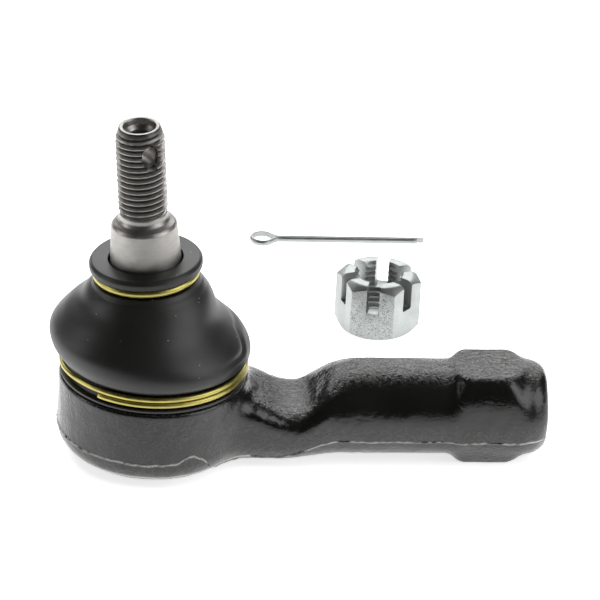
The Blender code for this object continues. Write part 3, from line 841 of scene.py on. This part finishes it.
def make_stud():
    """Spin the stud's outline, with the rolled thread cut into its upper part."""
    segments = 120
    angles = np.arange(segments) * math.tau / segments
    outline = finely(stud_outline, 0.1, 50.4, 73.6)
    points = []
    outer_top = max(index for index, point in enumerate(outline) if point[0] > 4.9)
    for index, (radius, height) in enumerate(outline):
        ring = np.full(segments, radius)
        if 51.0 < height and index <= outer_top:
            groove = thread_height(height / 1.5 - angles / math.tau)
            ring = np.minimum(ring, 5.06 + 0.94 * groove)
        points.append(ring_at(ring, height, angles))
    made = make_piece("ball_stud_steel", np.concatenate(points),
                      grid_faces(len(outline), segments, False), turned_steel, 45.0)
    hole = softened([(0.0, -9.0), (5.3, -9.0), (2.05, -4.7), (1.85, -4.2), (1.85, 4.2), (2.05, 4.7),
                     (5.3, 9.0), (0.0, 9.0)], 0.2)
    cutter = turned("pin_hole_cutter", hole, turned_steel, 40)
    turn = Matrix.Rotation(PIN_HOLE_TURN, 4, "Z") @ Matrix.Rotation(math.radians(90.0), 4, "X")
    place_at(cutter, (0, 0, PIN_HOLE_HEIGHT), turn @ Matrix.Diagonal((1.0, 1.25, 1.0, 1.0)))
    boolean(made, cutter, "DIFFERENCE")
    shade(made, 45.0)
    return made


stud_turn = Matrix.Rotation(-stud_lean, 4, "Y")
ball_stud_steel = make_stud()
place_at(ball_stud_steel, ball_centre, stud_turn)
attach(ball_stud_steel, "stud")
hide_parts("ball_stud")
print("stud faces:", len(ball_stud_steel.data.polygons))

# %% [markdown]
# ## Dust boot
# The boot is one moulded rubber bellows: a lip on the housing's ledge, a groove for the lower
# ring, a bulge, a groove for the upper ring and a collar that seals on the taper.  Soft rubber
# never sits evenly, so the bulge has a crease and a flattened side.  It is spun from a section
# with real thickness and then pushed about.

# %% Boot section
BORDER_Z = 38.4          # where the lower and the upper half of the boot meet
lip = softened([(19.9, 27.3), (19.9, 22.3), (22.8, 22.3), (23.0, 23.1), (21.5, 23.4), (21.5, 27.1),
                (22.4, 27.3)], 0.3)
bulge = through([(22.4, 27.3), (23.6, 28.6), (24.2, 30.7), (24.0, 33.0), (23.3, 35.4), (22.0, 38.0),
                 (20.2, 40.6), (18.0, 43.0), (15.6, 45.2), (13.4, 47.0)], 0.3)
collar = softened([(13.4, 47.0), (12.9, 48.1), (11.2, 48.3), (11.2, 51.0), (13.55, 51.05),
                   (13.85, 51.4), (13.85, 52.7), (13.1, 53.5), (9.1, 53.5), (9.1, 48.6)], 0.3)
lining = through([(9.1, 48.6), (10.5, 47.0), (12.1, 45.6), (14.3, 43.7), (16.6, 41.4), (18.6, 39.3),
                  (20.2, 37.0), (21.2, 35.0), (21.9, 33.0), (22.1, 30.7), (21.0, 28.6), (19.9, 27.3)], 0.6)


def put_on_border(curve):
    """Move the sample nearest the border's height exactly onto it, along the curve."""
    points = sorted(curve, key=lambda point: point[1])
    radius = float(np.interp(BORDER_Z, [p[1] for p in points], [p[0] for p in points]))
    nearest = min(range(len(curve)), key=lambda index: abs(curve[index][1] - BORDER_Z))
    curve[nearest] = (radius, BORDER_Z)
    return nearest


outside_border = len(lip) + put_on_border(bulge) - 1
inside_border = len(lip) + len(bulge) + len(collar) + put_on_border(lining) - 3
section = lip + bulge[1:] + collar[1:] + lining[1:-1]
print("boot section has", len(section), "points, border at", section[outside_border],
      section[inside_border])

# %% [markdown]
# ## The boot's bulges and its bend
# The stud leans away from the shank, so the rubber is drawn in on the shank's side and
# bulges on the other, with a crease between.  A cloth simulation could find such a shape,
# but a thick moulded bellows keeps its section, so smooth pushes by angle and height are
# closer to it.  The boot is made as two pieces that share one edge, and their shading is
# taken from the whole so that no seam shows.

# %% Push the rubber about
def lean_share(height):
    """How much of the stud's lean the rubber has taken up at a height."""
    return ease((height - SPIGOT_TOP) / (47.0 - SPIGOT_TOP))


def rubber_push(degrees, height):
    """How far the rubber is pushed out or in, by the angle from the shank and the height."""
    toward = (degrees + 180.0) % 360.0 - 180.0
    shank_side = (1 + np.cos(np.radians(toward))) / 2
    squeezed = 1.5 * np.exp(-((height - 35.0) / 4.5) ** 2) - 0.8 * np.exp(-((height - 43.5) / 2.0) ** 2)
    stretched = -4.9 * np.exp(-((height - 38.2) / 5.8) ** 2)
    push = squeezed * (1 - shank_side) + stretched * shank_side
    crease_z = 31.6 + 3.0 * ease((25.0 - toward) / 20.0)
    here = ease((58.0 - toward) / 14.0) * ease((toward + 42.0) / 25.0)
    push = push - 0.3 * here * np.exp(-((height - crease_z) / 0.5) ** 2)
    push = push + 0.2 * here * np.exp(-((height - crease_z + 1.3) / 0.9) ** 2)
    turn = np.radians(degrees)
    push = push + 0.12 * np.sin(2 * turn + 0.9) + 0.08 * np.sin(3 * turn + height * 0.15)
    return push * ease((height - 27.6) / 2.6) * ease((47.6 - height) / 2.2)


def make_boot():
    """The whole boot as points, then its lower and upper halves as two objects."""
    segments = 200
    angles = np.arange(segments) * math.tau / segments
    points = []
    for radius, height in section:
        ring = ring_at(radius + rubber_push(-np.degrees(angles), height), height, angles)
        turn = np.array(Matrix.Rotation(-stud_lean * float(lean_share(height)), 3, "Y"))
        points.append((ring - np.array(ball_centre)) @ turn.T + np.array(ball_centre))
    points = np.concatenate(points)
    faces = grid_faces(len(section), segments, True)
    whole = bpy.data.meshes.new("boot_whole")
    whole.from_pydata((points * MM).tolist(), [], faces)
    normals = np.empty(len(points) * 3, np.float32)
    whole.vertices.foreach_get("normal", normals)
    normals = normals.reshape(-1, 3)
    outward = float((normals * (points - np.array([0, 0, 40]))).sum())
    flip = outward < 0
    halves = []
    for name, wanted in (("dust_boot_lower", False), ("dust_boot_upper", True)):
        kept = []
        for index, face in enumerate(faces):
            row = index // segments
            if (outside_border <= row < inside_border) == wanted:
                kept.append(face[::-1] if flip else face)
        used = sorted({vert for face in kept for vert in face})
        index_of = {vert: index for index, vert in enumerate(used)}
        mesh = bpy.data.meshes.new(name)
        mesh.from_pydata((points[used] * MM).tolist(), [],
                         [[index_of[vert] for vert in face] for face in kept])
        mesh.materials.append(moulded_rubber)
        mesh.shade_smooth()
        mesh.normals_split_custom_set_from_vertices((normals[used] * (-1 if flip else 1)).tolist())
        halves.append(new_object(name, mesh))
    return halves


dust_boot_lower, dust_boot_upper = make_boot()
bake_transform(dust_boot_lower)
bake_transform(dust_boot_upper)
for half in (dust_boot_lower, dust_boot_upper):
    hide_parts("dust_boot")
print("boot halves:", len(dust_boot_lower.data.vertices), len(dust_boot_upper.data.vertices))

# %% [markdown]
# ## The two wire rings
# The lower ring is spring wire wound a little more than one and a half times round the
# boot's groove, so its turns lap in front.  The upper one is a closed ring.  Both are round
# wire, swept as a tube along its path, with cut ends that are slightly rounded.  A curve
# with a bevel would do the same, but its ends are flat and it has to be turned to a mesh.

# %% Wire rings
WIRE_SIDES = 14
BASE_WIRE_R = 0.7
BASE_RING_R = 22.5
BASE_RING_HEIGHT = 24.5
BASE_RING_TURNS = 1.6
NECK_WIRE_R = 0.98
NECK_RING_R = 12.2
NECK_RING_HEIGHT = 34.3      # along the stud, from the ball's centre


def wire(name, path, radius, material, closed):
    """A round wire along a path of points, with eased ends where it is open."""
    spots = [Vector(point) for point in path]
    rings = []
    for index, spot in enumerate(spots):
        before = spots[index - 1] if closed or index else spot
        after = spots[(index + 1) % len(spots)] if closed or index < len(spots) - 1 else spot
        run = (after - before).normalized()
        side = run.cross(Vector((0, 0, 1))).normalized()
        up = side.cross(run)
        inset = 0.75 if not closed and index in (0, len(spots) - 1) else 1.0
        rings.append([spot + (side * math.cos(angle) + up * math.sin(angle)) * radius * inset
                      for angle in np.arange(WIRE_SIDES) * math.tau / WIRE_SIDES])
    points = [tuple(point) for ring in rings for point in ring]
    faces = grid_faces(len(rings), WIRE_SIDES, closed)
    if not closed:
        faces.append(tuple(range(WIRE_SIDES)))
        faces.append(tuple(range(len(points) - WIRE_SIDES, len(points))))
    return make_piece(name, points, faces, material, 60.0)


def base_ring_path():
    """Points along the wound ring: flat, and then up and over its own first turn."""
    path = []
    for share in np.linspace(0, 1, 330):
        degrees = 360.0 * BASE_RING_TURNS * share
        angle = math.radians(-129.0 + degrees)
        height = BASE_RING_HEIGHT + 1.55 * float(ease((degrees - 285.0) / 70.0))
        path.append((BASE_RING_R * math.cos(angle), BASE_RING_R * math.sin(angle), height))
    ends = [np.array(path[0]), np.array(path[-1])]
    ends[0] += (ends[0] - np.array(path[1])) * 0.25
    ends[1] += (ends[1] - np.array(path[-2])) * 0.25
    return [tuple(ends[0])] + path + [tuple(ends[1])]


base_ring_wire = wire("boot_base_ring_wire", base_ring_path(), BASE_WIRE_R, yellow_zinc, False)
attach(base_ring_wire, "housing")
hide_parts("boot_base_ring")
circle = np.arange(180) * math.tau / 180
neck_path = [(NECK_RING_R * math.cos(angle), NECK_RING_R * math.sin(angle), NECK_RING_HEIGHT)
             for angle in circle]
neck_ring_wire = wire("boot_neck_ring_wire", neck_path, NECK_WIRE_R, yellow_zinc, True)
place_at(neck_ring_wire, ball_centre, stud_turn)
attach(neck_ring_wire, "boot_neck")
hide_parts("boot_neck_ring")
print("rings made:", base_ring_wire.name, neck_ring_wire.name)

# %% [markdown]
# ## Castle nut
# The nut is pressed from hexagon bar, tapped M12, and slotted across its flats so that the
# split pin can pass through it and the stud.  A turned cone eases its corners above and
# below.  The edges get a small bevel before the thread is cut, which keeps the thread clean.
# The thread could be a bump, but a bump has no crests against the light in the slots.

# %% Nut
NUT_FLATS = 19.0
NUT_HEIGHT = nut_high.z - nut_low.z
SLOT_HALF_WIDTH = 1.65
SLOT_DEPTH = 7.5
SIX_SIDES = [tuple(range(6)), tuple(range(6, 12))]
SIX_SIDES += [(side, (side + 1) % 6, (side + 1) % 6 + 6, side + 6) for side in range(6)]
nut_centre = (nut_low + nut_high) / 2
nut_turn = math.radians(-13.6)


def nut_thread_radius(height, angles):
    """Inside radius of the nut's M12 thread, with a countersink at each face."""
    groove = thread_height(height / 1.5 - angles / math.tau)
    opened = 5.2 + 0.82 * (1 - groove)
    mouth = 6.25 - np.minimum(height, NUT_HEIGHT - height)
    return np.maximum(opened, mouth)


def make_nut():
    """Hexagon, eased by a cone, slotted, bevelled and threaded."""
    corner_r = NUT_FLATS / 2 / math.cos(math.pi / 6)
    corners = [(corner_r * math.cos(step * math.pi / 3), corner_r * math.sin(step * math.pi / 3))
               for step in range(6)]
    points = [(x, y, z) for z in (0.0, NUT_HEIGHT) for x, y in corners]
    made = make_piece("castle_nut_zinc", points, SIX_SIDES, nut_zinc, 30.0)
    eased = softened([(0.0, -0.001), (NUT_FLATS / 2 - 0.5, -0.001), (corner_r + 0.1, 1.5),
                      (corner_r + 0.1, NUT_HEIGHT - 1.7), (NUT_FLATS / 2 - 1.0, NUT_HEIGHT + 0.001),
                      (0.0, NUT_HEIGHT + 0.001)], 0.5)
    boolean(made, turned("nut_cone", eased, nut_zinc, 96), "INTERSECT")
    for step in range(3):
        half = SLOT_HALF_WIDTH
        low = NUT_HEIGHT - SLOT_DEPTH
        profile = [(-half, NUT_HEIGHT + 1.0), (-half, low + 0.35), (-half + 0.35, low), (half - 0.35, low),
                   (half, low + 0.35), (half, NUT_HEIGHT + 1.0)]
        block = [(run, across, up) for run in (-15.0, 15.0) for across, up in profile]
        cutter = make_piece("slot_cutter", block, SIX_SIDES, nut_zinc)
        place_at(cutter, (0, 0, 0), Matrix.Rotation(math.radians(30 + 60 * step), 4, "Z"))
        boolean(made, cutter, "DIFFERENCE")
    bore = turned("pilot_cutter", [(0.0, -1.0), (5.0, -1.0), (5.0, NUT_HEIGHT + 1.0),
                                   (0.0, NUT_HEIGHT + 1.0)], nut_zinc, 48)
    boolean(made, bore, "DIFFERENCE")
    bevel = made.modifiers.new("bevel", "BEVEL")
    bevel.width = 0.16 * MM
    bevel.segments = 2
    bevel.limit_method = "ANGLE"
    bevel.angle_limit = math.radians(28.0)
    apply_modifiers(made)
    heights = np.arange(-0.6, NUT_HEIGHT + 0.6, 0.12)
    tube = threaded_surface(heights, nut_thread_radius, 72)
    middle = [np.tile([[0.0, 0.0, heights[0]]], (72, 1)), np.tile([[0.0, 0.0, heights[-1]]], (72, 1))]
    stack = [middle[0]] + tube + [middle[1]]
    tap = make_piece("tap_cutter", np.concatenate(stack), grid_faces(len(stack), 72, False), nut_zinc)
    boolean(made, tap, "DIFFERENCE")
    shade(made, 35.0)
    return made


castle_nut_zinc = make_nut()
place_at(castle_nut_zinc, (nut_centre.x, nut_centre.y, nut_low.z), Matrix.Rotation(nut_turn, 4, "Z"))
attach(castle_nut_zinc, "nut")
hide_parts("castle_nut")
print("nut faces:", len(castle_nut_zinc.data.polygons))

# %% [markdown]
# ## Split pin
# A split pin is half-round wire folded back on itself, flat sides together, with an open eye
# at the fold and one leg shorter than the other so that the legs are easy to spread.  Two
# bars and a ring could be joined for it, but then the bend into the eye is wrong, so one
# half-round section is swept along the folded path.

# %% Pin
PIN_WIRE_R = 0.7
PIN_EYE_R = 2.6
PIN_HALF_GAP = 0.15
pin_centre = (pin_low + pin_high) / 2
pin_half = 22.95


def make_pin():
    """Sweep a half-round section out along one leg, round the eye and back."""
    gap = PIN_HALF_GAP
    eye_x = -pin_half + PIN_EYE_R + PIN_WIRE_R
    leg = [(pin_half, gap), (pin_half - 0.25, gap)]
    leg += [(pin_half - 0.25 - (pin_half - 5.2 - eye_x) * step / 12, gap) for step in range(1, 13)]
    bend = through([(eye_x + 4.9, gap), (eye_x + 3.9, gap + 0.12), (eye_x + 3.0, gap + 0.62),
                    (eye_x + 2.35, gap + 1.15)], 0.2)
    loop = [(eye_x + PIN_EYE_R * math.cos(math.radians(angle)), PIN_EYE_R * math.sin(math.radians(angle)))
            for angle in range(44, 317, 8)]
    first = leg + bend + loop[:len(loop) // 2]
    second = [(x - 1.8 if index < 2 else x, -y) for index, (x, y) in enumerate(leg)]
    second = second[:2] + [point for point in second[2:] if point[0] < pin_half - 2.4]
    back = [(x, -y) for x, y in bend][::-1] + second[::-1]
    path = first + loop[len(loop) // 2:] + back
    rings = []
    for index, (x, y) in enumerate(path):
        before = Vector(path[max(index - 1, 0)])
        after = Vector(path[min(index + 1, len(path) - 1)])
        run = (after - before).normalized()
        out = Vector((run.y, -run.x))
        radius = PIN_WIRE_R * (0.8 if index in (0, len(path) - 1) else 1.0)
        outline = [(radius * math.cos(angle), radius * math.sin(angle))
                   for angle in np.linspace(-math.pi / 2, math.pi / 2, 13)]
        rings.append([(x + out.x * u, y + out.y * u, v) for u, v in outline])
    points = [point for ring in rings for point in ring]
    faces = grid_faces(len(rings), 13, False)
    faces += [tuple(range(13)), tuple(range(len(points) - 13, len(points)))]
    return make_piece("split_pin_zinc", points, faces, bright_zinc, 50.0)


split_pin_zinc = make_pin()
place_at(split_pin_zinc, pin_centre, Matrix.Rotation(math.radians(-0.9), 4, "Z"))
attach(split_pin_zinc, "pin")
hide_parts("split_pin")
print("pin made, length", round(2 * pin_half, 1))

# %% [markdown]
# ## Cover plate and the pieces inside
# A pressed cover closes the socket from below, and the rim of the socket is rolled over it.
# It is the one hidden piece that shows from underneath, so it is spun again with rounded
# bends.  The liners, the spring and the seal are simple turned shapes already, so they keep
# the model's own meshes and only get new finishes.

# %% Cover and carried-over pieces
COVER_SHEET = 1.6
cover_outline = softened([(0.0, 0.0), (10.5, 0.0), (14.6, 2.6), (16.5, 2.6), (16.5, 4.2), (13.6, 4.2),
                          (9.6, COVER_SHEET), (0.0, COVER_SHEET)], 0.9)
cover_pressing = turned("cover_pressing", cover_outline, phosphate_plate, 96)
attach(cover_pressing, "housing")
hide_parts("cover_plate")
kept_pieces = {"upper_ball_seat": acetal, "lower_ball_seat": acetal,
               "preload_spring": tempered_spring, "cover_seal": nitrile}
for name, material in kept_pieces.items():
    mesh_slots = frame["nodes"][name].data.materials
    mesh_slots.clear()
    mesh_slots.append(material)
print("cover and", len(kept_pieces), "inner pieces finished")

# %% [markdown]
# ## Floor
# A parts catalogue stands its pieces on pale paper.  Glossy black pieces show what is round
# them more than their own colour, so the paper also lights them from below: it glows a
# little, and less in front, where the studio is dark.  A lit paper alone would need much
# stronger lights, which would then burn out the zinc.

# %% Floor
floor_paper, tree, shader, place = start_material("matt_white_paper", "#f7f7f7", 0.9)
shader.inputs["Emission Color"].default_value = linear("#ffffff")
parts = add(tree, "SeparateXYZ", {0: place})
lit = add(tree, "MapRange", {"Value": parts.outputs[1], "From Min": -0.095, "From Max": -0.025,
                             "To Min": 0.12, "To Max": 0.95}, interpolation_type="SMOOTHSTEP")
seen = add(tree, "LightPath")
glow = add(tree, "Mix", {0: seen.outputs["Is Camera Ray"], 2: lit.outputs[0], 3: 0.72},
           data_type="FLOAT")
tree.links.new(glow.outputs[0], shader.inputs["Emission Strength"])
fibre = add(tree, "TexNoise", {"Vector": place, "Scale": 900.0, "Detail": 3.0})
bump = add(tree, "Bump", {"Strength": 0.05, "Distance": 0.0001, "Height": fibre.outputs[0]})
tree.links.new(bump.outputs[0], shader.inputs["Normal"])
floor_z = min(corner.z for name in frame["nodes"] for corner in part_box(name)) / MM
floor = make_piece("floor", [(-6000, -6000, floor_z), (6000, -6000, floor_z), (6000, 6000, floor_z),
                             (-6000, 6000, floor_z)], [(0, 1, 2, 3)], floor_paper)
print("floor at", round(floor_z, 3), "mm")

# %% [markdown]
# ## Light
# Wide soft lights give soft edges to every highlight.  One overhead fills, and is hidden
# from reflections.  One behind draws the pale band along the top of the forging, and two
# weaker ones from the sides model the boot.  The room is grey above and dark in front.  A
# picture of a real studio would be simpler, but a lesson has no image to load.

# %% Light
def soft_light(name, place, aim, width, depth, power):
    """A rectangular soft light at a place in metres, aimed at a point."""
    data = bpy.data.lights.new(name, "AREA")
    data.shape = "RECTANGLE"
    data.size = width
    data.size_y = depth
    data.energy = power
    made = new_object(name, data)
    made.location = place
    made.rotation_mode = "QUATERNION"
    made.rotation_quaternion = (Vector(aim) - Vector(place)).to_track_quat("-Z", "Y")
    return made


middle = Vector((0.035, 0.03, 0.03))
overhead = soft_light("overhead_softbox", (0.05, 0.0, 1.0), middle, 1.2, 1.2, 9.0)
overhead.visible_glossy = False
soft_light("back_softbox", (0.1, 1.25, 0.9), middle, 2.2, 0.85, 22.0)
soft_light("left_softbox", (-1.2, 0.1, 0.5), middle, 0.5, 0.6, 2.5)
soft_light("right_softbox", (1.2, -0.55, 0.75), middle, 1.1, 1.2, 11.0)
world = bpy.data.worlds.new("studio_room")
bpy.context.scene.world = world
world.use_nodes = True
tree = world.node_tree
background = tree.nodes["Background"]
direction = add(tree, "TexCoord").outputs["Generated"]
parts = add(tree, "SeparateXYZ", {0: direction})
above = add(tree, "MapRange", {"Value": parts.outputs[2], "From Min": 0.1, "From Max": 0.55,
                               "To Min": 0.0, "To Max": 1.0}, interpolation_type="SMOOTHSTEP")
room = add(tree, "Mix", {0: above.outputs[0], 6: linear("#101010"), 7: linear("#303031")},
           data_type="RGBA")
seen = add(tree, "LightPath")
shown = add(tree, "Mix", {0: seen.outputs["Is Camera Ray"], 6: room.outputs[2], 7: linear("#f4f4f4")},
            data_type="RGBA")
tree.links.new(shown.outputs[2], background.inputs["Color"])
background.inputs["Strength"].default_value = 0.9
bpy.context.scene.view_settings.view_transform = "Standard"

# %% [markdown]
# ## Camera
# A long lens from far away keeps the pieces' true proportions, as a catalogue picture does.
# The camera looks down on the part from its side and is rolled a little.  A short lens close
# by would make the socket look bigger than it is next to the shank's end.

# %% Set the camera
azimuth = math.radians(-5.77)
elevation = math.radians(28.58)
roll = math.radians(3.16)
aim = Vector((35.11, 0.0, 41.61)) * MM
back = Vector((math.sin(azimuth) * math.cos(elevation), -math.cos(azimuth) * math.cos(elevation),
               math.sin(elevation)))
right = Vector((math.cos(azimuth), math.sin(azimuth), 0.0))
upward = back.cross(right)
camera_x = right * math.cos(roll) + upward * math.sin(roll)
camera_y = upward * math.cos(roll) - right * math.sin(roll)
camera_data = bpy.data.cameras.new("long_lens")
camera_data.lens = 360.0
camera_data.sensor_width = 36.0
camera_data.clip_end = 50.0
camera_distance = 1.4623
camera = new_object("camera", camera_data)
turn = Matrix((camera_x, camera_y, back)).transposed().to_4x4()
camera.matrix_world = Matrix.Translation(aim + back * camera_distance) @ turn
bpy.context.scene.camera = camera
print("camera at", tuple(round(value, 3) for value in camera.location))
